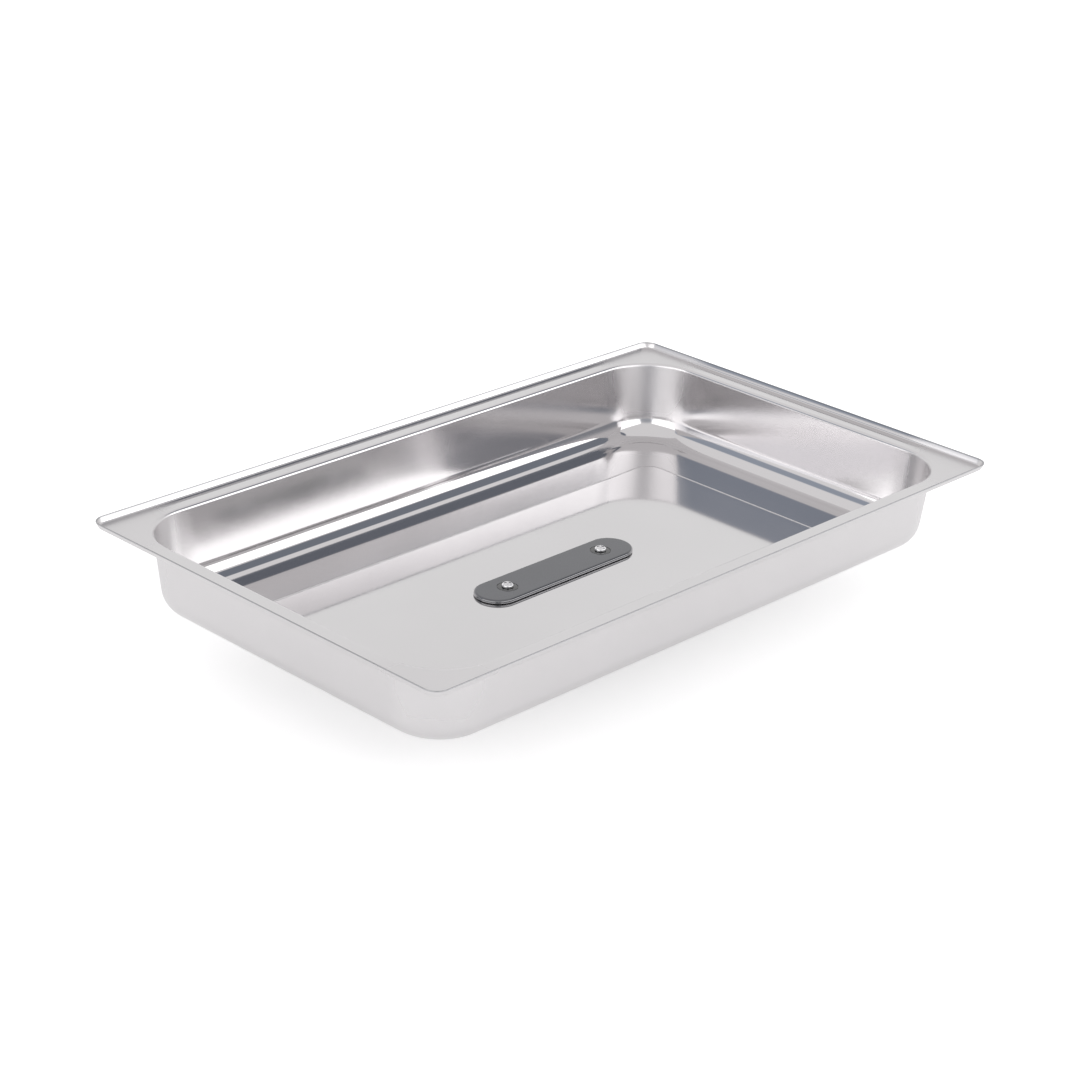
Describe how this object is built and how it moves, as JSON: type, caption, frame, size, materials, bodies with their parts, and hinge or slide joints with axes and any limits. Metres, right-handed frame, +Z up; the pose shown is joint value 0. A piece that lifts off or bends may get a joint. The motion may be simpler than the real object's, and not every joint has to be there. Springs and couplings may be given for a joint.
{
  "type": "food pan cover",
  "caption": "Rectangular drawn stainless cover for a food pan, lying open side up, with upturned rim lip, sloping walls, shallow sunk floor panel, black backing plate inside and bridge handle beneath.",
  "frame": {"origin": "centre of the handle's flat grip, on the surface that the cover lies on", "axes": "+X along the cover's length, +Y across its width, +Z up out of the open side"},
  "size_m": [0.53, 0.325, 0.1012],
  "materials": {
    "stainless": "polished, with faint fine drawing lines",
    "black_plate": "glossy black",
    "black_handle": "finely grained black moulding",
    "screw_steel": "bright steel",
    "black_washer": "smooth black nylon",
    "grey_seal": "matt grey silicone",
    "brass_insert": "turned brass"
  },
  "bodies": {
    "root": {"tray_shell": "stainless", "backing_plate": "black_plate", "handle": "black_handle", "screw_left": "screw_steel", "screw_right": "screw_steel", "washer_left": "black_washer", "washer_right": "black_washer", "seal_left": "grey_seal", "seal_right": "grey_seal", "insert_left": "brass_insert", "insert_right": "brass_insert"}
  },
  "joints": []
}
